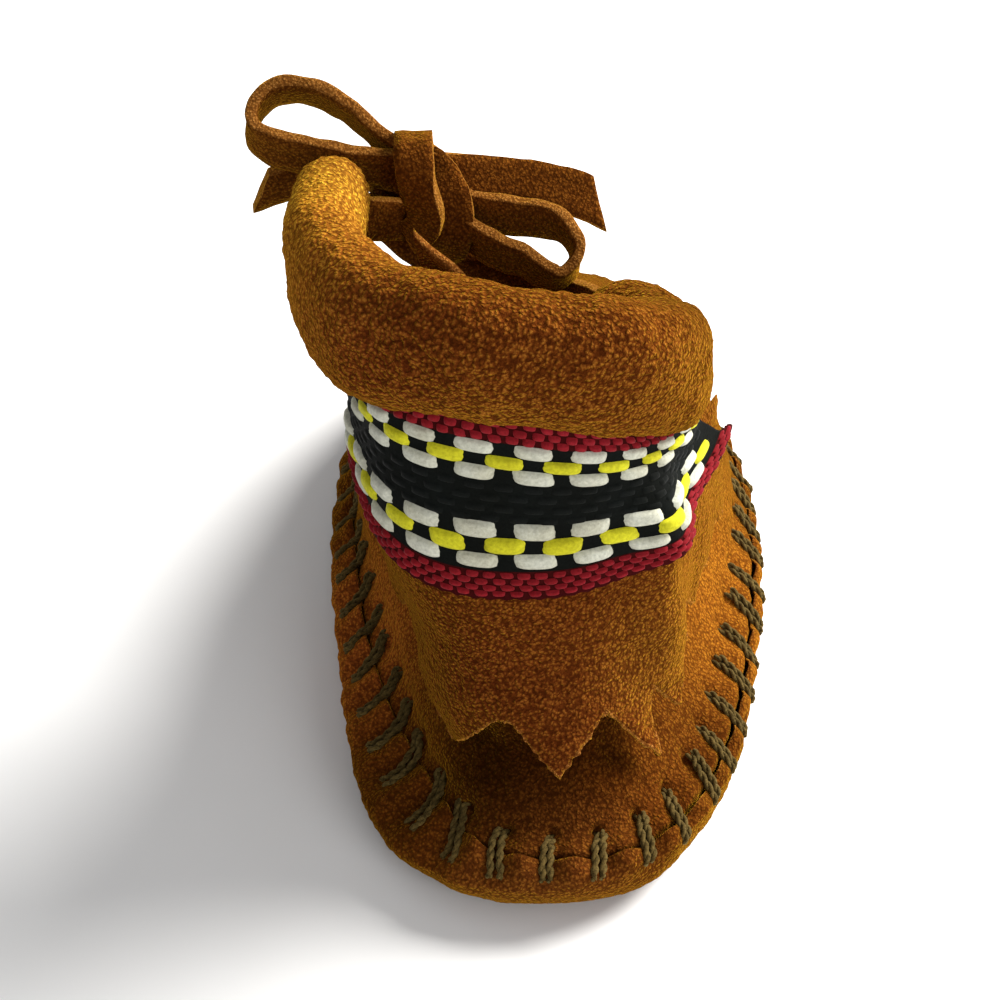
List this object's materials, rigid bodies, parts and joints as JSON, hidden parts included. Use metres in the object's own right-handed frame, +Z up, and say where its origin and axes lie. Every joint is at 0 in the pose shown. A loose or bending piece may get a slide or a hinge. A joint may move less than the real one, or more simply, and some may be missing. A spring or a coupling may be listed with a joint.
{
  "type": "baby moccasin",
  "caption": "Soft suede baby moccasin, right shoe: one-piece turned-up sole, hollow upper, ankle flap with a zigzag hem, woven ribbon band, rolled collar and a suede lace in a bow.",
  "frame": {"origin": "on the floor, under the middle of the sole's box", "axes": "+Y from heel to toe, +X to the outer side of the foot, +Z up"},
  "size_m": [0.0659, 0.1181, 0.0813],
  "materials": {
    "suede": "napped golden brown suede",
    "sole_suede": "worn brown suede",
    "lining": "plain flesh side of suede",
    "ribbon": "woven black ribbon with white, yellow and crimson floats",
    "lace": "flat suede lace with pale cut edges"
  },
  "bodies": {
    "root": {"sole": "sole_suede", "insole": "lining", "upper": "suede", "tongue": "suede", "cuff_flap": "suede", "ribbon_band": "ribbon", "collar_roll": "suede", "lace_bar": "lace", "lace_knot": "lace", "lace_loop_left": "lace", "lace_loop_right": "lace", "lace_end_left": "lace", "lace_end_right": "lace"}
  },
  "joints": []
}
